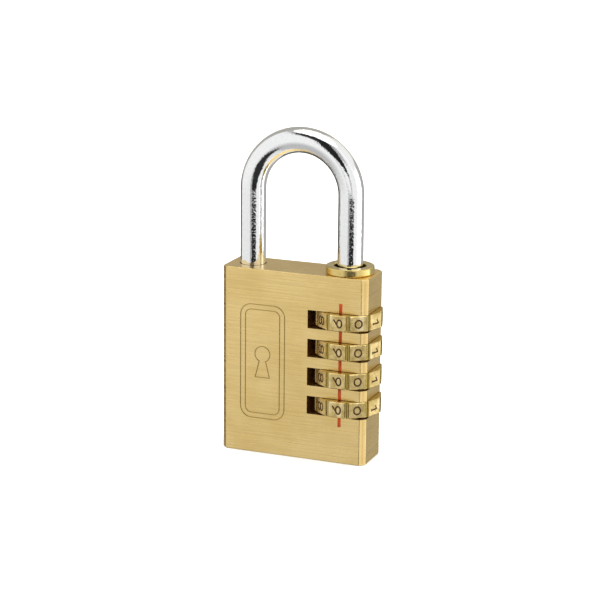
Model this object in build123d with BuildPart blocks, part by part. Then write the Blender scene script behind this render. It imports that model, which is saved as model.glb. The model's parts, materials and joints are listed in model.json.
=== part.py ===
from build123d import *
import os
from math import atan2, cos, degrees, radians, sin

# A combination padlock with four thumb dials, standing on its base.
# Millimetres; the origin is the centre of the bottom face, +X is the dial side,
# -Y is the front and +Z is up, along the shackle's legs.

os.makedirs("parts", exist_ok=True)

# ---------------------------------------------------------------- body block
BODY_WIDTH = 38.2
BODY_THICKNESS = 12.4
BODY_HEIGHT = 47.25
CORNER_CHAMFER = 1.3
CORNER_EDGE_ROUND = 0.3
EDGE_ROUND = 0.3
FRONT = Plane.XZ.offset(BODY_THICKNESS / 2)

# ---------------------------------------------------------------- dial stack
DIAL_COUNT = 4
DIAL_AXIS_X = 12.5
SLOT_PITCH = 7.3
SLOT_HEIGHT = 4.6
SLOT_END_X = 3.9
TOP_SLOT_Z = 36.05
SLOT_ZS = [TOP_SLOT_Z - SLOT_PITCH * i for i in range(DIAL_COUNT)]

DIGITS = 10
DIGIT_STEP = 360 / DIGITS
DIAL_HEIGHT = 4.0
DIAL_RISE = 0.2
DIAL_CORNER_R = 8.6
DIAL_FACET_R = DIAL_CORNER_R * cos(radians(DIGIT_STEP / 2))
DIAL_EDGE_CHAMFER = 0.2
GROOVE_R = 0.55
GROOVE_CENTRE_R = 8.5
FRONT_ANGLE = -90
FRONT_DIGIT = 9

# ------------------------------------------------------------------- numerals
PEN = 0.4
NUMERAL_DEPTH = 0.25
INK_DEPTH = 0.15
HALF_TALL = 1.0
HALF_WIDE = 0.95
ZERO_TALL = 0.85
BOWL_TALL = 0.62
STEM_LEAN = 0.2
TAIL_ANGLE = -20
HOOK_ANGLE = 45
FOOT_X = 0.85
ONE_X = 0.45
SERIF = 0.15

# -------------------------------------------------------- bore and its sleeves
BORE_R = 5.0
BORE_FLOOR_Z = 2.0
SLEEVE_R = 4.9
CHAMBER_R = 4.35
GATE_BORE_R = 2.95
GATE_WALL = 2.2
GATE_WIDTH = 2.3
STACK_GAP = 0.05
TOP_GATE_Z = 39.8
GATE_ZS = [TOP_GATE_Z - SLOT_PITCH * i for i in range(DIAL_COUNT)]

LUG_R = 5.65
LUG_WIDTH = 2.0
LUG_BOTTOM = 0.2
LUG_TOP = 2.0
NOTCH_R = 5.8
NOTCH_WIDTH = 2.2
NOTCH_BOTTOM = 0.1
FREE_BORE_R = 5.95

# -------------------------------------------------------------------- shackle
ROD_R = 3.175
TOE_X = -13.2
SHACKLE_TOP_Z = 82.25
BEND_R = (DIAL_AXIS_X - TOE_X) / 2
BEND_Z = SHACKLE_TOP_Z - ROD_R - BEND_R
TOE_DEPTH = 4.8
SOCKET_DEPTH = 5.8
SOCKET_R = 3.35
STEM_R = 2.75
STEM_TOP_Z = 44.2
STEM_BOTTOM_Z = 3.0
ROD_END_CHAMFER = 0.5
FIN_R = 4.15
FIN_WIDTH = 2.0
FIN_HEIGHT = 2.0
FIN_PLAY = 0.4

# --------------------------------------------------------------------- collar
COLLAR_R = 6.0
COLLAR_HEIGHT = 1.9
COLLAR_HOLE_R = 3.95
COLLAR_SHOULDER_Z = 45.1
COLLAR_ROUND = 0.35
COLLAR_HOLE_CHAMFER = 0.2

# -------------------------------------------------------- springs and detents
WASHER_R = 4.85
WASHER_HOLE_R = 3.3
WASHER_THICKNESS = 1.0
RESET_COIL_R = 4.2
RESET_WIRE_R = 0.45
RESET_TURNS = 5

BALL_R = 1.0
BALL_HOLE_R = 1.05
BALL_HOLE_END_X = -3.1
BALL_X = DIAL_AXIS_X - DIAL_CORNER_R - BALL_R
DETENT_COIL_R = 0.72
DETENT_WIRE_R = 0.13
DETENT_TURNS = 7
COIL_END_GAP = 0.02

# --------------------------------------------------- index line and engraving
INDEX_WIDTH = 0.85
INDEX_DEPTH = 0.2
INDEX_PAINT_DEPTH = 0.17
INDEX_TOP_Z = 40.75
INDEX_BOTTOM_Z = 9.4

MOTIF_X = -8.0
MOTIF_Z = 23.7
MOTIF_LINE = 0.26
MOTIF_DEPTH = 0.15
FRAME_WIDTH = 12.0
FRAME_HEIGHT = 29.5
FRAME_CORNER_R = 3.0
FRAME_GAP = 1.3
KEYHOLE_R = 2.0
KEYHOLE_NECK = 0.85
KEYHOLE_FOOT = 1.9
KEYHOLE_DROP = 6.0
KEYHOLE_RISE = 2.0
MOTIF_PLANE = Plane((MOTIF_X, -BODY_THICKNESS / 2, MOTIF_Z), x_dir=(1, 0, 0), z_dir=(0, -1, 0))


def save(builder, name):
    """Label a finished piece and write it as a node of its own."""
    builder.part.label = name
    export_step(builder.part, f"parts/{name}.step")


# ================================================================ lock body
def index_spans():
    """Bottom and top of each stretch of the index line, which the slots interrupt."""
    tops = [INDEX_TOP_Z] + [z - SLOT_HEIGHT / 2 for z in SLOT_ZS]
    bottoms = [z + SLOT_HEIGHT / 2 for z in SLOT_ZS] + [INDEX_BOTTOM_Z]
    return list(zip(bottoms, tops))


def engrave_frame(inset):
    """One thin rounded frame, inset from the ornament's outer size."""
    width = FRAME_WIDTH - 2 * inset
    height = FRAME_HEIGHT - 2 * inset
    corner = FRAME_CORNER_R - inset
    line = MOTIF_LINE
    RectangleRounded(width, height, corner)
    RectangleRounded(width - 2 * line, height - 2 * line, corner - line, mode=Mode.SUBTRACT)


def keyhole_outline():
    """A closed outline: a round eye over a neck that widens to a flat foot."""
    neck_z = KEYHOLE_RISE - (KEYHOLE_R**2 - KEYHOLE_NECK**2) ** 0.5
    foot_z = KEYHOLE_RISE - KEYHOLE_DROP
    left_neck = (-KEYHOLE_NECK, neck_z)
    right_neck = (KEYHOLE_NECK, neck_z)
    Polyline(right_neck, (KEYHOLE_FOOT, foot_z), (-KEYHOLE_FOOT, foot_z), left_neck)
    ThreePointArc(left_neck, (0, KEYHOLE_RISE + KEYHOLE_R), right_neck)


with BuildPart() as lock_body:
    with BuildSketch() as block_outline:
        Rectangle(BODY_WIDTH, BODY_THICKNESS)
        chamfer(block_outline.vertices(), CORNER_CHAMFER)
        fillet(block_outline.vertices(), CORNER_EDGE_ROUND)
    extrude(amount=BODY_HEIGHT)
    top_and_bottom = lock_body.edges().group_by(Axis.Z)
    fillet(top_and_bottom[0] + top_and_bottom[-1], EDGE_ROUND)

    # slots for the dials, open at the front, the back and the dial side
    slot_length = BODY_WIDTH / 2 + 1 - SLOT_END_X
    with BuildSketch(Plane.XZ):
        with Locations(*[(SLOT_END_X + slot_length / 2, z) for z in SLOT_ZS]):
            Rectangle(slot_length, SLOT_HEIGHT)
    extrude(amount=BODY_THICKNESS, both=True, mode=Mode.SUBTRACT)

    # blind bore for the sleeves, with a keyway that lets their lugs down
    with BuildSketch(Plane.XY.offset(BORE_FLOOR_Z)):
        with Locations((DIAL_AXIS_X, 0)):
            Circle(BORE_R)
    extrude(amount=BODY_HEIGHT - BORE_FLOOR_Z, mode=Mode.SUBTRACT)
    with BuildSketch(Plane.XY.offset(SLOT_ZS[-1])):
        with Locations((DIAL_AXIS_X - NOTCH_R / 2, 0)):
            Rectangle(NOTCH_R, NOTCH_WIDTH)
    extrude(amount=BODY_HEIGHT - SLOT_ZS[-1], mode=Mode.SUBTRACT)

    # socket for the shackle's toe
    with BuildSketch(Plane.XY.offset(BODY_HEIGHT - SOCKET_DEPTH)):
        with Locations((TOE_X, 0)):
            Circle(SOCKET_R)
    extrude(amount=SOCKET_DEPTH, mode=Mode.SUBTRACT)

    # one blind hole for each detent ball, in the end wall of its slot
    with BuildSketch(Plane.YZ.offset(BALL_HOLE_END_X)):
        with Locations(*[(0, z) for z in SLOT_ZS]):
            Circle(BALL_HOLE_R)
    extrude(amount=SLOT_END_X - BALL_HOLE_END_X, mode=Mode.SUBTRACT)

    # shallow groove for the painted index line
    with BuildSketch(FRONT):
        for low, high in index_spans():
            with Locations((DIAL_AXIS_X, (low + high) / 2)):
                Rectangle(INDEX_WIDTH, high - low)
    extrude(amount=-INDEX_DEPTH, mode=Mode.SUBTRACT)

    # engraved ornament: a double frame around a keyhole
    with BuildSketch(MOTIF_PLANE):
        engrave_frame(0)
        engrave_frame(FRAME_GAP)
        with BuildLine():
            keyhole_outline()
        trace(line_width=MOTIF_LINE)
    extrude(amount=-MOTIF_DEPTH, mode=Mode.SUBTRACT)
save(lock_body, "lock_body")


# paint that fills the index groove, a little below the face
with BuildPart() as index_line:
    with BuildSketch(FRONT.offset(-INDEX_DEPTH)):
        for low, high in index_spans():
            with Locations((DIAL_AXIS_X, (low + high) / 2)):
                Rectangle(INDEX_WIDTH, high - low)
    extrude(amount=INDEX_PAINT_DEPTH)
save(index_line, "index_line")


# =================================================================== shackle
with BuildPart() as shackle:
    with BuildLine(Plane.XZ) as rod_path:
        Line((DIAL_AXIS_X, STEM_TOP_Z), (DIAL_AXIS_X, BEND_Z))
        CenterArc((DIAL_AXIS_X - BEND_R, BEND_Z), BEND_R, 0, 180)
        Line((TOE_X, BEND_Z), (TOE_X, BODY_HEIGHT - TOE_DEPTH))
    with BuildSketch(Plane.XY.offset(STEM_TOP_Z)):
        with Locations((DIAL_AXIS_X, 0)):
            Circle(ROD_R)
    sweep(path=rod_path.wire())
    chamfer(shackle.edges().group_by(Axis.Z)[0], ROD_END_CHAMFER)

    # turned-down stem that runs through the sleeves
    with BuildSketch(Plane.XY.offset(STEM_BOTTOM_Z)):
        with Locations((DIAL_AXIS_X, 0)):
            Circle(STEM_R)
    extrude(amount=STEM_TOP_Z - STEM_BOTTOM_Z)
    chamfer(shackle.edges().group_by(Axis.Z)[0], ROD_END_CHAMFER)

    # one locking fin under each sleeve's gate wall
    for gate_z in GATE_ZS:
        with BuildSketch(Plane.XY.offset(gate_z - FIN_PLAY - FIN_HEIGHT)):
            with Locations((DIAL_AXIS_X, 0)):
                Circle(FIN_R)
            with Locations((DIAL_AXIS_X + FIN_R / 2, 0)):
                Rectangle(FIN_R, FIN_WIDTH, mode=Mode.INTERSECT)
        extrude(amount=FIN_HEIGHT)
save(shackle, "shackle")


# ============================================================ shackle collar
with BuildPart() as shackle_collar:
    spigot_bottom = TOP_GATE_Z + GATE_WALL + STACK_GAP
    with BuildSketch(Plane.XY.offset(BODY_HEIGHT)):
        with Locations((DIAL_AXIS_X, 0)):
            Circle(COLLAR_R)
    extrude(amount=COLLAR_HEIGHT)
    flange_rims = shackle_collar.edges().group_by(Axis.Z)
    fillet(flange_rims[0] + flange_rims[-1], COLLAR_ROUND)
    with BuildSketch(Plane.XY.offset(spigot_bottom)):
        with Locations((DIAL_AXIS_X, 0)):
            Circle(BORE_R)
    extrude(amount=BODY_HEIGHT - spigot_bottom)
    with BuildSketch(Plane.XY.offset(spigot_bottom)):
        with Locations((DIAL_AXIS_X, 0)):
            Circle(COLLAR_HOLE_R)
    extrude(amount=BODY_HEIGHT + COLLAR_HEIGHT - spigot_bottom, mode=Mode.SUBTRACT)
    top_rims = shackle_collar.edges().filter_by(GeomType.CIRCLE).group_by(Axis.Z)[-1]
    chamfer(top_rims.sort_by(SortBy.RADIUS)[0], COLLAR_HOLE_CHAMFER)

    # chamber that the top fin rises into, up to the shoulder that stops it
    with BuildSketch(Plane.XY.offset(spigot_bottom)):
        with Locations((DIAL_AXIS_X, 0)):
            Circle(CHAMBER_R)
    extrude(amount=COLLAR_SHOULDER_Z - spigot_bottom, mode=Mode.SUBTRACT)
save(shackle_collar, "shackle_collar")


# ===================================================================== dials
def bowl_point(height, tall, angle):
    """The point at this angle on a bowl, an ellipse centred at this height."""
    return (HALF_WIDE * cos(radians(angle)), height + tall * sin(radians(angle)))


def ring(height, tall):
    """A closed bowl, centred at this height."""
    with Locations((0, height)):
        Ellipse(HALF_WIDE + PEN / 2, tall + PEN / 2)
        Ellipse(HALF_WIDE - PEN / 2, tall - PEN / 2, mode=Mode.SUBTRACT)


def shoulder_point(height, radius, angle):
    """The point at this angle on a shoulder."""
    return (HALF_WIDE - radius + radius * cos(radians(angle)), height + radius * sin(radians(angle)))


def shoulder(height, radius, start):
    """A round stroke at the digit's right side, from a start angle up to its top."""
    arc = CenterArc((HALF_WIDE - radius, height), radius, start, 90 - start, mode=Mode.PRIVATE)
    SlotArc(arc, PEN)


def stroke(*points):
    """Straight pen strokes from point to point, with round ends."""
    for start, end in zip(points, points[1:]):
        run = Vector(*end) - Vector(*start)
        with Locations(Vector(*start) + run / 2):
            SlotCenterToCenter(run.length, PEN, rotation=degrees(atan2(run.Y, run.X)))


def digit_strokes(digit):
    """The strokes of a digit, its top towards +Y."""
    top = HALF_TALL
    side = HALF_WIDE
    upper = top - BOWL_TALL
    lower = BOWL_TALL - top
    if digit == 0:
        ring(0, ZERO_TALL)
    elif digit == 1:
        stroke((ONE_X - FOOT_X, top / 2), (ONE_X, top), (ONE_X, -top))
        stroke((ONE_X - SERIF, -top), (ONE_X + SERIF, -top))
    elif digit == 2:
        stroke((-FOOT_X, top), shoulder_point(upper, BOWL_TALL, 90))
        shoulder(upper, BOWL_TALL, -HOOK_ANGLE)
        stroke(shoulder_point(upper, BOWL_TALL, -HOOK_ANGLE), (-side, -top), (side, -top))
    elif digit == 3:
        stroke((-FOOT_X, top), shoulder_point(top / 2, top / 2, 90))
        shoulder(top / 2, top / 2, -90)
        stroke((-STEM_LEAN, 0), shoulder_point(top / 2, top / 2, -90))
        shoulder(-top / 2, top / 2, -90)
        stroke((-FOOT_X, -top), shoulder_point(-top / 2, top / 2, -90))
    elif digit == 4:
        stroke((STEM_LEAN, -top), (STEM_LEAN, top), (-side, -top / 3), (side, -top / 3))
    elif digit == 5:
        waist = lower + BOWL_TALL
        stroke((FOOT_X, top), (-FOOT_X, top), (-FOOT_X, waist), shoulder_point(lower, BOWL_TALL, 90))
        shoulder(lower, BOWL_TALL, -90)
        stroke((-FOOT_X, -top), shoulder_point(lower, BOWL_TALL, -90))
    elif digit == 6:
        ring(lower, BOWL_TALL)
        stroke(bowl_point(lower, BOWL_TALL, 180 + TAIL_ANGLE), (FOOT_X, top))
    elif digit == 7:
        stroke((-side, top), (side, top), (-STEM_LEAN, -top))
    elif digit == 8:
        ring(top / 2, top / 2)
        ring(-top / 2, top / 2)
    else:
        ring(upper, BOWL_TALL)
        stroke(bowl_point(upper, BOWL_TALL, TAIL_ANGLE), (-FOOT_X, -top))


def digit_face(digit):
    """A digit drawn flat, to be laid on any facet."""
    with BuildSketch() as drawn:
        digit_strokes(digit)
    return drawn.sketch


NUMERALS = [digit_face(digit) for digit in range(DIGITS)]


def facet_plane(dial_z, steps, depth=0):
    """A dial's facet, so many digit steps from the front, its digit's top turned sideways."""
    angle = radians(FRONT_ANGLE + DIGIT_STEP * steps)
    reach = DIAL_FACET_R - depth
    centre = (DIAL_AXIS_X + reach * cos(angle), reach * sin(angle), dial_z)
    return Plane(centre, x_dir=(0, 0, -1), z_dir=(cos(angle), sin(angle), 0))


for number, slot_z in enumerate(SLOT_ZS, 1):
    dial_z = slot_z + DIAL_RISE
    dial_bottom = dial_z - DIAL_HEIGHT / 2
    notch_bottom = slot_z + NOTCH_BOTTOM
    with BuildPart() as dial:
        with BuildSketch(Plane.XY.offset(dial_bottom)):
            with Locations((DIAL_AXIS_X, 0)):
                RegularPolygon(DIAL_CORNER_R, DIGITS)
        extrude(amount=DIAL_HEIGHT)
        rims = dial.edges().group_by(Axis.Z)
        chamfer(rims[0] + rims[-1], DIAL_EDGE_CHAMFER)

        # a groove between facets, where the detent ball drops in
        with BuildSketch(Plane.XY.offset(dial_bottom)):
            with Locations((DIAL_AXIS_X, 0)):
                with PolarLocations(GROOVE_CENTRE_R, DIGITS):
                    Circle(GROOVE_R)
                Circle(BORE_R)
        extrude(amount=DIAL_HEIGHT, mode=Mode.SUBTRACT)

        # ten notches above for the sleeve's lug, and a free bore below them
        with BuildSketch(Plane.XY.offset(notch_bottom)):
            with Locations((DIAL_AXIS_X, 0)):
                with PolarLocations(NOTCH_R / 2, DIGITS):
                    Rectangle(NOTCH_R, NOTCH_WIDTH)
        extrude(amount=dial_bottom + DIAL_HEIGHT - notch_bottom, mode=Mode.SUBTRACT)
        with BuildSketch(Plane.XY.offset(dial_bottom)):
            with Locations((DIAL_AXIS_X, 0)):
                Circle(FREE_BORE_R)
        extrude(amount=notch_bottom - dial_bottom, mode=Mode.SUBTRACT)

        # engraved digits
        for steps in range(DIGITS):
            with BuildSketch(facet_plane(dial_z, steps)):
                add(NUMERALS[(FRONT_DIGIT + steps) % DIGITS])
            extrude(amount=-NUMERAL_DEPTH, mode=Mode.SUBTRACT)
    save(dial, f"dial_{number}")

    # ink at the bottom of the engraving
    with BuildPart() as numeral_ink:
        for steps in range(DIGITS):
            with BuildSketch(facet_plane(dial_z, steps, depth=NUMERAL_DEPTH)):
                add(NUMERALS[(FRONT_DIGIT + steps) % DIGITS])
            extrude(amount=INK_DEPTH)
    save(numeral_ink, f"numeral_ink_{number}")


# ========================================================== clutch sleeves
for number, (gate_z, slot_z) in enumerate(zip(GATE_ZS, SLOT_ZS), 1):
    sleeve_top = gate_z + GATE_WALL
    sleeve_height = SLOT_PITCH - STACK_GAP
    with BuildPart() as clutch_sleeve:
        with BuildSketch(Plane.XY.offset(sleeve_top - sleeve_height)):
            with Locations((DIAL_AXIS_X, 0)):
                Circle(SLEEVE_R)
        extrude(amount=sleeve_height)

        # lug that turns the sleeve with its dial
        with BuildSketch(Plane.XY.offset(slot_z + LUG_BOTTOM)):
            with Locations((DIAL_AXIS_X, 0)):
                Circle(LUG_R)
            with Locations((DIAL_AXIS_X - LUG_R / 2, 0)):
                Rectangle(LUG_R, LUG_WIDTH, mode=Mode.INTERSECT)
        extrude(amount=LUG_TOP - LUG_BOTTOM)

        # wide chamber below, and a gate wall above with one slot for the fin
        with BuildSketch(Plane.XY.offset(sleeve_top - sleeve_height)):
            with Locations((DIAL_AXIS_X, 0)):
                Circle(CHAMBER_R)
        extrude(amount=sleeve_height - GATE_WALL, mode=Mode.SUBTRACT)
        with BuildSketch(Plane.XY.offset(gate_z)):
            with Locations((DIAL_AXIS_X, 0)):
                Circle(CHAMBER_R)
            with Locations((DIAL_AXIS_X + CHAMBER_R / 2, 0)):
                Rectangle(CHAMBER_R, GATE_WIDTH, mode=Mode.INTERSECT)
            with Locations((DIAL_AXIS_X, 0)):
                Circle(GATE_BORE_R)
        extrude(amount=GATE_WALL, mode=Mode.SUBTRACT)
    save(clutch_sleeve, f"clutch_sleeve_{number}")


# ============================================ spring washer and reset spring
washer_top = GATE_ZS[-1] + GATE_WALL - SLOT_PITCH
washer_bottom = washer_top - WASHER_THICKNESS

with BuildPart() as spring_washer:
    with BuildSketch(Plane.XY.offset(washer_bottom)):
        with Locations((DIAL_AXIS_X, 0)):
            Circle(WASHER_R)
            Circle(WASHER_HOLE_R, mode=Mode.SUBTRACT)
    extrude(amount=WASHER_THICKNESS)
save(spring_washer, "spring_washer")


def coil(radius, wire_radius, turns, length, foot, direction):
    """A coil spring that stands on its foot point and is this long overall."""
    rise = length - 2 * (wire_radius + COIL_END_GAP)
    first_turn = Vector(*foot) + Vector(*direction) * (wire_radius + COIL_END_GAP)
    with BuildPart() as spring:
        with BuildLine() as turns_line:
            Helix(rise / turns, rise, radius, center=first_turn, direction=direction)
        with BuildSketch(Plane(turns_line.line @ 0, z_dir=turns_line.line % 0)):
            Circle(wire_radius)
        sweep(path=turns_line.line, is_frenet=True)
    return spring


reset_spring = coil(RESET_COIL_R, RESET_WIRE_R, RESET_TURNS, washer_bottom - BORE_FLOOR_Z,
                    (DIAL_AXIS_X, 0, BORE_FLOOR_Z), (0, 0, 1))
save(reset_spring, "reset_spring")


# ============================================ detent balls and their springs
for number, slot_z in enumerate(SLOT_ZS, 1):
    with BuildPart() as detent_ball:
        with Locations((BALL_X, 0, slot_z)):
            Sphere(BALL_R)
    save(detent_ball, f"detent_ball_{number}")

    detent_spring = coil(DETENT_COIL_R, DETENT_WIRE_R, DETENT_TURNS, BALL_X - BALL_R - BALL_HOLE_END_X,
                         (BALL_HOLE_END_X, 0, slot_z), (1, 0, 0))
    save(detent_spring, f"detent_spring_{number}")
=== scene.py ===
"""A brass combination padlock in a white studio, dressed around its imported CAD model."""

import json
import math

import bpy
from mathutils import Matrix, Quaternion, Vector


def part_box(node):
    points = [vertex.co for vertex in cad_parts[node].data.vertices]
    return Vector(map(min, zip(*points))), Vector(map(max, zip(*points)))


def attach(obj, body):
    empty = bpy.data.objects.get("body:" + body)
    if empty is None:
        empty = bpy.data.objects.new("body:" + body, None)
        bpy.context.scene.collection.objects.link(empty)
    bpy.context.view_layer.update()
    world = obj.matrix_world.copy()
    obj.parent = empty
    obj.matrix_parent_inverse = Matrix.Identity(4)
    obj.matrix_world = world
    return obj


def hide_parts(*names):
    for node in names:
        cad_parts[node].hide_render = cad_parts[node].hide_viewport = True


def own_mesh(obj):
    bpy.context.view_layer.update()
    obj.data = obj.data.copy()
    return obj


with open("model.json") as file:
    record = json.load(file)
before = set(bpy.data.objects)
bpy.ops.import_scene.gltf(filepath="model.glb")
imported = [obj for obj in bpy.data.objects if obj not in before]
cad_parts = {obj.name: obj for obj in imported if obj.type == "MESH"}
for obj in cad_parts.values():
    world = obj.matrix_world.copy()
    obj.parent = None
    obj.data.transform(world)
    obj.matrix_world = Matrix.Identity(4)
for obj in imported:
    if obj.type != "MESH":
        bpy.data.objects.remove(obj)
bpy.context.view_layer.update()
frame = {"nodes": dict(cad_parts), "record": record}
MM = 0.001

# ------------------------------------------------------------------ camera
CAMERA_AZIMUTH = math.radians(21.5)
CAMERA_ELEVATION = math.radians(14.1)
CAMERA_ROLL = math.radians(0.57)
CAMERA_DISTANCE = 0.5
CAMERA_PIVOT = Vector((0, 0, 43 * MM))
AIM = Vector((-0.6 * MM, 0, 38.9 * MM))
LENS = 121.5

# ---------------------------------------------------------- colours, linear
BODY_BRASS = (0.90, 0.67, 0.285)
BODY_BRASS_DEEP = (0.84, 0.61, 0.24)
BRUSH_LIGHT = (0.97, 0.77, 0.42)
BRUSH_DARK = (0.60, 0.42, 0.15)
POLISHED_BRASS = (0.78, 0.61, 0.24)
POLISHED_BRASS_DEEP = (0.68, 0.51, 0.17)
DIAL_BRASS = (0.78, 0.60, 0.27)
DIAL_BRASS_DEEP = (0.58, 0.43, 0.155)
DIAL_BRASS_WORN = (0.94, 0.78, 0.44)
# painted shade, dark brown, for the deep insides of the slots
SLOT_SHADE = (0.50, 0.19, 0.035)
# dirt in the pits of the dials, and painted shade in the engraved lines of the body
GRIME_AND_SHADE = (0.34, 0.24, 0.08)
# painted shade in the grooves between the dial facets
GROOVE_SHADE = (0.52, 0.38, 0.09)
CHROME = (0.88, 0.885, 0.885)
CHROME_DULL = (0.84, 0.845, 0.845)
STEEL = (0.62, 0.61, 0.59)
STEEL_DEEP = (0.5, 0.49, 0.47)
ENAMEL = (0.36, 0.052, 0.010)
ENAMEL_DEEP = (0.25, 0.032, 0.006)
INK = (0.040, 0.018, 0.005)
INK_DUSTY = (0.11, 0.06, 0.02)
FLOOR_GREY = (0.88, 0.88, 0.88)
FLOOR_WHITE = (0.92, 0.92, 0.92)

# ----------------------------------- texture sizes, in features per metre
LONG_STROKE = 70
LONG_STROKE_WIDTH = 3300
SHORT_STROKE = 330
SHORT_STROKE_WIDTH = 5600
BODY_PATCHES = 110
COLLAR_MARKS = (250, 250, 6000)
COLLAR_HAZE = 420
DIAL_CLOUDS = 620
DIAL_RUBS = (700, 700, 260)
DIAL_PITS = 3800
CHROME_GRAIN = (2600, 2600, 1700)
CHROME_WAVES = (300, 300, 60)
STEEL_GRAIN = 3000
SLEEVE_RINGS = (80, 80, 9000)
PAINT_POOL = (1500, 1500, 350)
INK_DUST = 2200
FLOOR_FLECK = 40

# ----------------------------------------------------------- texture depths
BRUSH_RELIEF = 0.006 * MM
COLLAR_RELIEF = 0.008 * MM
PIT_RELIEF = 0.015 * MM
CHROME_RELIEF = 0.036 * MM
WAVE_RELIEF = 0.02 * MM
STEEL_RELIEF = 0.004 * MM
RING_RELIEF = 0.01 * MM
PAINT_RELIEF = 0.02 * MM

# ---------------------------------------------- where painted shade and rougher metal lie in the brass
ENGRAVING_START = 0.03 * MM
ENGRAVING_FLOOR = 0.12 * MM
SLOT_LIP = 0.25 * MM
SLOT_FULL_DEPTH = 1.2 * MM
SLOT_ROUGHNESS = 0.5
# depths below the dial facets where the painted groove shade starts and where it is full
GROOVE_SHADE_START = 0.03 * MM
GROOVE_SHADE_FULL = 0.25 * MM
DIGIT_TURN = math.radians(36)


# ------------------------------------------------------------- node helpers
def plug(tree, value, socket):
    """Links a socket, or sets a constant."""
    if isinstance(value, bpy.types.NodeSocket):
        tree.links.new(value, socket)
    elif isinstance(value, tuple) and len(value) == 3 and socket.type == "RGBA":
        socket.default_value = (*value, 1)
    else:
        socket.default_value = value


def calculate(tree, operation, first, second=0.0):
    """A Math node's result."""
    node = tree.nodes.new("ShaderNodeMath")
    node.operation = operation
    plug(tree, first, node.inputs[0])
    plug(tree, second, node.inputs[1])
    return node.outputs[0]


def remap(tree, value, low, high, new_low=0.0, new_high=1.0, smooth=True):
    """Moves a value from one range to another, clamped, with an eased or a straight slope."""
    node = tree.nodes.new("ShaderNodeMapRange")
    node.interpolation_type = "SMOOTHSTEP" if smooth else "LINEAR"
    plug(tree, value, node.inputs["Value"])
    limits = {"From Min": low, "From Max": high, "To Min": new_low, "To Max": new_high}
    for name, number in limits.items():
        plug(tree, number, node.inputs[name])
    return node.outputs["Result"]


def mix(tree, factor, first, second, data_type="RGBA"):
    """The first value where the factor is 0 and the second where it is 1: colours, vectors or numbers."""
    node = tree.nodes.new("ShaderNodeMix")
    node.data_type = data_type
    plug(tree, factor, node.inputs["Factor"])
    plug(tree, first, node.inputs["A"])
    plug(tree, second, node.inputs["B"])
    return node.outputs["Result"]


def scaled(tree, vector, scale):
    """A vector with each part multiplied by its own factor."""
    node = tree.nodes.new("ShaderNodeVectorMath")
    node.operation = "MULTIPLY"
    plug(tree, vector, node.inputs[0])
    node.inputs[1].default_value = scale
    return node.outputs[0]


def along(tree, vector, axis):
    """How far a vector reaches along an axis."""
    node = tree.nodes.new("ShaderNodeVectorMath")
    node.operation = "DOT_PRODUCT"
    plug(tree, vector, node.inputs[0])
    node.inputs[1].default_value = axis
    return node.outputs["Value"]


def parts_of(tree, vector):
    """The X, Y and Z of a vector."""
    node = tree.nodes.new("ShaderNodeSeparateXYZ")
    plug(tree, vector, node.inputs[0])
    return node.outputs


def noise(tree, vector, scale, detail=3.0, roughness=0.5):
    """Fractal noise from 0 to 1."""
    node = tree.nodes.new("ShaderNodeTexNoise")
    plug(tree, vector, node.inputs["Vector"])
    node.inputs["Scale"].default_value = scale
    node.inputs["Detail"].default_value = detail
    node.inputs["Roughness"].default_value = roughness
    return node.outputs["Fac"]


def place(tree):
    """The point's place in the object's own frame, in metres."""
    return tree.nodes.new("ShaderNodeTexCoord").outputs["Object"]


def blotches(tree, pattern, first, second):
    """Two colours in soft blotches of a noise pattern."""
    return mix(tree, remap(tree, pattern, 0.35, 0.65), first, second)


def varied(tree, pattern, low, high):
    """A number that follows a noise pattern from one limit to the other."""
    return remap(tree, pattern, 0.3, 0.7, low, high)


def bump(tree, height, distance, strength=0.6, under=None):
    """A bump normal from a height, on top of another one."""
    node = tree.nodes.new("ShaderNodeBump")
    node.inputs["Strength"].default_value = strength
    node.inputs["Distance"].default_value = distance
    plug(tree, height, node.inputs["Height"])
    if under:
        plug(tree, under, node.inputs["Normal"])
    return node.outputs["Normal"]


def new_material(name, metallic):
    """An empty material with one Principled shader: (material, tree, shader)."""
    material = bpy.data.materials.new(name)
    material.use_nodes = True
    tree = material.node_tree
    shader = tree.nodes["Principled BSDF"]
    shader.inputs["Metallic"].default_value = metallic
    return material, tree, shader


def coat(tree, shader, colour, roughness, relief):
    """Gives a material's shader its colour, its roughness and its relief."""
    plug(tree, colour, shader.inputs["Base Color"])
    plug(tree, roughness, shader.inputs["Roughness"])
    plug(tree, relief, shader.inputs["Normal"])


# ---------------------------------------------------------------- materials
def depth_inside(tree, where):
    """How deep a point lies inside the padlock's block, below its nearest outer face."""
    low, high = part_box("lock_body")
    depth = None
    for axis, floor, ceiling in zip(parts_of(tree, where), low, high):
        for from_face in (
            calculate(tree, "SUBTRACT", axis, floor),
            calculate(tree, "SUBTRACT", ceiling, axis),
        ):
            depth = calculate(tree, "MINIMUM", depth, from_face) if depth else from_face
    return depth


def brush_marks(tree, where, level, stroke, width, detail):
    """Noise drawn out into strokes, which run level round the block and lengthwise on its level faces."""
    upright = scaled(tree, where, (stroke, stroke, width))
    lying = scaled(tree, where, (stroke, width, stroke))
    return noise(tree, mix(tree, level, upright, lying, "VECTOR"), 1.0, detail, 0.6)


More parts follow.
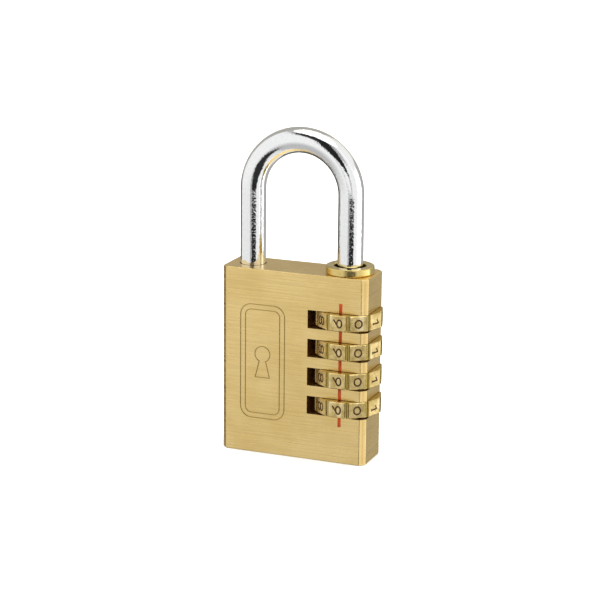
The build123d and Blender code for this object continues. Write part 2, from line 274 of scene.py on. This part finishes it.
def brushed_brass():
    """Satin brass, brushed level round the body, with painted shade in the engraving, and rougher slots
    with painted brown shade deep inside.
    """
    material, tree, shader = new_material("brushed_brass", 1.0)
    where = place(tree)
    facing = parts_of(tree, tree.nodes.new("ShaderNodeNewGeometry").outputs["True Normal"])
    level = calculate(tree, "GREATER_THAN", calculate(tree, "ABSOLUTE", facing["Z"]), 0.7)
    front = calculate(tree, "GREATER_THAN", calculate(tree, "ABSOLUTE", facing["Y"]), 0.95)
    long_brush = brush_marks(tree, where, level, LONG_STROKE, LONG_STROKE_WIDTH, 3.0)
    short_brush = brush_marks(tree, where, level, SHORT_STROKE, SHORT_STROKE_WIDTH, 2.0)
    clean = blotches(tree, noise(tree, where, BODY_PATCHES), BODY_BRASS_DEEP, BODY_BRASS)
    lit = mix(tree, remap(tree, short_brush, 0.56, 0.74, 0.0, 0.5), clean, BRUSH_LIGHT)
    brushed = mix(tree, remap(tree, long_brush, 0.42, 0.27, 0.0, 0.45), lit, BRUSH_DARK)
    depth = depth_inside(tree, where)
    # painted shade in the engraved lines of the front faces, darker the deeper they sink
    sunk = remap(tree, depth, ENGRAVING_START, ENGRAVING_FLOOR, 0.0, 0.75)
    engraving_shaded = mix(tree, calculate(tree, "MULTIPLY", sunk, front), brushed, GRIME_AND_SHADE)
    # painted shade deeper inside the slots, which are also rougher there
    deep_in_slot = remap(tree, depth, SLOT_LIP, SLOT_FULL_DEPTH)
    colour = mix(tree, calculate(tree, "MULTIPLY", deep_in_slot, 0.8), engraving_shaded, SLOT_SHADE)
    roughness = remap(tree, deep_in_slot, 0, 1, varied(tree, long_brush, 0.24, 0.38), SLOT_ROUGHNESS)
    grain = calculate(tree, "ADD", long_brush, short_brush)
    coat(tree, shader, colour, roughness, bump(tree, grain, BRUSH_RELIEF))
    return material


def polished_brass():
    """Yellow, polished brass of the collar, with faint turning marks."""
    material, tree, shader = new_material("polished_brass", 1.0)
    where = place(tree)
    marks = noise(tree, scaled(tree, where, COLLAR_MARKS), 1.0)
    haze = noise(tree, where, COLLAR_HAZE)
    colour = blotches(tree, haze, POLISHED_BRASS_DEEP, POLISHED_BRASS)
    coat(tree, shader, colour, varied(tree, haze, 0.12, 0.24), bump(tree, marks, COLLAR_RELIEF, 0.5))
    return material


def below_facets(tree, where):
    """How far a dial's point lies inside its ten facets, measured square to the nearest one."""
    low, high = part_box("dial_1")
    spread = parts_of(tree, where)
    across = calculate(tree, "SUBTRACT", spread["X"], (low.x + high.x) / 2)
    angle = calculate(tree, "ARCTAN2", spread["Y"], across)
    from_corner = calculate(tree, "PINGPONG", angle, DIGIT_TURN / 2)
    from_facet = calculate(tree, "SUBTRACT", DIGIT_TURN / 2, from_corner)
    across_squared = calculate(tree, "MULTIPLY", across, across)
    depth_squared = calculate(tree, "MULTIPLY", spread["Y"], spread["Y"])
    reach = calculate(tree, "SQRT", calculate(tree, "ADD", across_squared, depth_squared))
    square_reach = calculate(tree, "MULTIPLY", reach, calculate(tree, "COSINE", from_facet))
    return calculate(tree, "SUBTRACT", -low.y, square_reach)


def dial_brass():
    """Duller brass of the dials: cloudy, pitted, with painted shade in the grooves and rubbed bright in
    places.
    """
    material, tree, shader = new_material("dial_brass", 1.0)
    where = place(tree)
    clouds = noise(tree, where, DIAL_CLOUDS, 5.0, 0.65)
    rubbed = noise(tree, scaled(tree, where, DIAL_RUBS), 1.0)
    pits = noise(tree, where, DIAL_PITS, 2.0)
    cloudy = mix(tree, remap(tree, clouds, 0.38, 0.62), DIAL_BRASS_DEEP, DIAL_BRASS)
    worn = mix(tree, remap(tree, rubbed, 0.52, 0.72), cloudy, DIAL_BRASS_WORN)
    specks = mix(tree, remap(tree, pits, 0.38, 0.30, 0.0, 0.75), worn, GRIME_AND_SHADE)
    # painted shade in the grooves between the facets, darker the deeper below the facets
    groove_shaded = remap(tree, below_facets(tree, where), GROOVE_SHADE_START, GROOVE_SHADE_FULL, 0.0, 0.85)
    colour = mix(tree, groove_shaded, specks, GROOVE_SHADE)
    coat(tree, shader, colour, varied(tree, clouds, 0.36, 0.20), bump(tree, pits, PIT_RELIEF))
    return material


def chrome():
    """Mirror chrome over steel rod that was not ground quite smooth."""
    material, tree, shader = new_material("chrome", 1.0)
    where = place(tree)
    grain = noise(tree, scaled(tree, where, CHROME_GRAIN), 1.0, 1.5)
    waves = noise(tree, scaled(tree, where, CHROME_WAVES), 1.0, 2.0)
    relief = bump(tree, waves, WAVE_RELIEF, 0.4, under=bump(tree, grain, CHROME_RELIEF))
    coat(tree, shader, blotches(tree, grain, CHROME_DULL, CHROME), varied(tree, grain, 0.02, 0.05), relief)
    return material


def bright_steel():
    """Drawn and turned steel of the springs, the washer and the balls."""
    material, tree, shader = new_material("bright_steel", 1.0)
    grain = noise(tree, place(tree), STEEL_GRAIN)
    relief = bump(tree, grain, STEEL_RELIEF, 0.5)
    coat(tree, shader, blotches(tree, grain, STEEL_DEEP, STEEL), varied(tree, grain, 0.18, 0.34), relief)
    return material


def turned_brass():
    """Brass as it leaves the lathe, with rings round the sleeve."""
    material, tree, shader = new_material("turned_brass", 1.0)
    rings = noise(tree, scaled(tree, place(tree), SLEEVE_RINGS), 1.0)
    colour = blotches(tree, rings, POLISHED_BRASS_DEEP, BODY_BRASS)
    coat(tree, shader, colour, varied(tree, rings, 0.24, 0.4), bump(tree, rings, RING_RELIEF))
    return material


def red_enamel():
    """Red paint run into the index groove."""
    material, tree, shader = new_material("red_enamel", 0.0)
    shader.inputs["Specular IOR Level"].default_value = 0.12
    pool = noise(tree, scaled(tree, place(tree), PAINT_POOL), 1.0)
    colour = blotches(tree, pool, ENAMEL_DEEP, ENAMEL)
    coat(tree, shader, colour, varied(tree, pool, 0.32, 0.48), bump(tree, pool, PAINT_RELIEF))
    return material


def dark_ink():
    """Brown-black paint wiped into the digits."""
    material, tree, shader = new_material("dark_ink", 0.0)
    shader.inputs["Specular IOR Level"].default_value = 0.1
    dust = noise(tree, place(tree), INK_DUST, 4.0, 0.6)
    colour = mix(tree, remap(tree, dust, 0.45, 0.75), INK, INK_DUSTY)
    coat(tree, shader, colour, varied(tree, dust, 0.45, 0.7), bump(tree, dust, PAINT_RELIEF))
    return material


MATERIALS = {
    "body_brass": brushed_brass(),
    "polished_brass": polished_brass(),
    "dial_brass": dial_brass(),
    "turned_brass": turned_brass(),
    "chrome_steel": chrome(),
    "bright_steel": bright_steel(),
    "red_enamel": red_enamel(),
    "dark_ink": dark_ink(),
}


# -------------------------------------------------------------- the padlock
def dress_nodes():
    """Gives every CAD node the material of its slot in the record."""
    for part in frame["record"]["subparts"]:
        node = frame["nodes"][part["node"]]
        node.data.materials.clear()
        node.data.materials.append(MATERIALS[part["material_slot"]])


def shorten_reset_spring():
    """Stands a copy with its own mesh in for the reset spring, on the lock body, and hides the CAD node.
    The real spring shortens as the washer presses down on it; the copy keeps its shape.
    """
    coil = frame["nodes"]["reset_spring"]
    spring = bpy.data.objects.new("reset_spring_coil", coil.data.copy())
    spring.matrix_world = coil.matrix_world
    bpy.context.scene.collection.objects.link(spring)
    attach(spring, "lock_body")
    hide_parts("reset_spring")
    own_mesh(spring)


dress_nodes()
shorten_reset_spring()


# ------------------------------------------------------------------- studio
FLOOR_SIDE = 3.0
FLOOR_GAP = 0.02 * MM
FLOOR_ROUGHNESS = 0.9
ROOM_WHITE = (1.0, 1.0, 1.0)
ROOM_WARM = (0.98, 0.95, 0.87)
FLOOR_LIGHT = 2.2
BACKDROP = 0.47
GREY_CARD = 0.12
BLACK_CARD = 0.03
DEEP_BLACK_CARD = 0.02
ALL_ROUND = (-200, 200)


def make_floor():
    """A plain white floor that the padlock stands on."""
    material, tree, shader = new_material("studio_floor", 0.0)
    fleck = noise(tree, place(tree), FLOOR_FLECK, 2.0)
    plug(tree, mix(tree, fleck, FLOOR_GREY, FLOOR_WHITE), shader.inputs["Base Color"])
    shader.inputs["Roughness"].default_value = FLOOR_ROUGHNESS
    side = FLOOR_SIDE / 2
    outline = ((-side, -side), (side, -side), (side, side), (-side, side))
    mesh = bpy.data.meshes.new("floor")
    mesh.from_pydata([(x, y, -FLOOR_GAP) for x, y in outline], [], [(0, 1, 2, 3)])
    mesh.materials.append(material)
    floor = bpy.data.objects.new("floor", mesh)
    bpy.context.scene.collection.objects.link(floor)
    floor.visible_glossy = False


def within(tree, value, low, high, edge):
    """1 between two limits and 0 outside them, with soft edges."""
    above = remap(tree, calculate(tree, "SUBTRACT", value, low), -edge, edge)
    below = remap(tree, calculate(tree, "SUBTRACT", high, value), -edge, edge)
    return calculate(tree, "MULTIPLY", above, below)


def panel(tree, light, room, span, band, edge, brightness):
    """Lays a soft-edged panel over the light; its span is across and its band is up, in degrees."""
    across, up = room
    inside = calculate(tree, "MULTIPLY", within(tree, across, *span, edge), within(tree, up, *band, edge))
    return mix(tree, inside, light, brightness, "FLOAT")


def directions(tree):
    """How far round from the camera's side, and how far up, a direction points, in degrees."""
    direction = tree.nodes.new("ShaderNodeTexCoord").outputs["Generated"]
    to_camera = (math.sin(CAMERA_AZIMUTH), -math.cos(CAMERA_AZIMUTH), 0)
    to_right = (math.cos(CAMERA_AZIMUTH), math.sin(CAMERA_AZIMUTH), 0)
    rightwards = along(tree, direction, to_right)
    turned = calculate(tree, "ARCTAN2", rightwards, along(tree, direction, to_camera))
    raised = calculate(tree, "ARCSINE", along(tree, direction, (0, 0, 1)))
    across = calculate(tree, "MULTIPLY", turned, math.degrees(1))
    up = calculate(tree, "MULTIPLY", raised, math.degrees(1))
    return across, up


def room_light(tree, room):
    """The studio's brightness in each direction, as panels laid one over another."""
    across, up = room
    wall_left = remap(tree, up, -34, -8, 0.56, 1.0, smooth=False)
    wall_right = remap(tree, across, 47, 101, 0.98, 2.0, smooth=False)
    wedge_foot = calculate(tree, "SUBTRACT", 21.5, calculate(tree, "MULTIPLY", across, 0.45))
    # the floor, and dark strips behind the padlock that outline the chrome
    light = panel(tree, BACKDROP, room, ALL_ROUND, (-100, -52), 4, 0.88)
    light = panel(tree, light, room, (-200, -128), (-60, -6), 4, GREY_CARD)
    light = panel(tree, light, room, (161, 200), (-60, -6), 4, GREY_CARD)
    # white walls to the left and the right of the camera
    light = panel(tree, light, room, (-123, -28), (-70, 55), 4, wall_left)
    light = panel(tree, light, room, (9, 104), (-70, 64), 3, wall_right)
    light = panel(tree, light, room, (60, 152), (22, 64), 3, 1.0)
    # cards above the camera that draw the dark shapes in the arch
    light = panel(tree, light, room, (-95, -26), (wedge_foot, 61), 3, BLACK_CARD)
    light = panel(tree, light, room, (6, 32), (28, 61), 5, 0.5)
    light = panel(tree, light, room, (-28, 9), (8, 61), 1.5, DEEP_BLACK_CARD)
    # a white patch level with the camera, and cards below it that draw the stripes down the legs
    light = panel(tree, light, room, (-25, 1), (-9, 7), 2, 1.0)
    light = panel(tree, light, room, (-15, 25), (-20, -11.2), 0.5, DEEP_BLACK_CARD)
    light = panel(tree, light, room, (-33, 30), (-48, -17), 3, BLACK_CARD)
    # the bright ceiling
    return panel(tree, light, room, ALL_ROUND, (63, 100), 3, 2.0)


def make_world():
    """A studio that the metal mirrors, which the camera itself sees as plain white."""
    world = bpy.data.worlds.new("studio")
    world.use_nodes = True
    tree = world.node_tree
    room = directions(tree)
    rays = tree.nodes.new("ShaderNodeLightPath").outputs
    on_floor = calculate(tree, "MULTIPLY", rays["Is Diffuse Ray"], FLOOR_LIGHT)
    light = calculate(tree, "MAXIMUM", room_light(tree, room), on_floor)
    behind = remap(tree, calculate(tree, "ABSOLUTE", room[0]), 115, 140)
    tint = mix(tree, behind, ROOM_WHITE, ROOM_WARM)
    background = tree.nodes["Background"]
    plug(tree, mix(tree, rays["Is Camera Ray"], tint, ROOM_WHITE), background.inputs["Color"])
    plug(tree, calculate(tree, "MAXIMUM", light, rays["Is Camera Ray"]), background.inputs["Strength"])
    bpy.context.scene.world = world


def make_camera():
    """The camera, a little to the dial side of the front and a little above."""
    flat = math.cos(CAMERA_ELEVATION)
    towards = Vector(
        (math.sin(CAMERA_AZIMUTH) * flat, -math.cos(CAMERA_AZIMUTH) * flat, math.sin(CAMERA_ELEVATION))
    )
    data = bpy.data.cameras.new("camera")
    data.lens = LENS
    camera = bpy.data.objects.new("camera", data)
    camera.location = CAMERA_PIVOT + towards * CAMERA_DISTANCE
    turn = (AIM - camera.location).to_track_quat("-Z", "Y")
    camera.rotation_mode = "QUATERNION"
    camera.rotation_quaternion = turn @ Quaternion((0, 0, 1), CAMERA_ROLL)
    bpy.context.scene.collection.objects.link(camera)
    bpy.context.scene.camera = camera


make_floor()
make_world()
make_camera()


# ------------------------------------------------------------------ view transform
bpy.context.scene.view_settings.view_transform = "Standard"
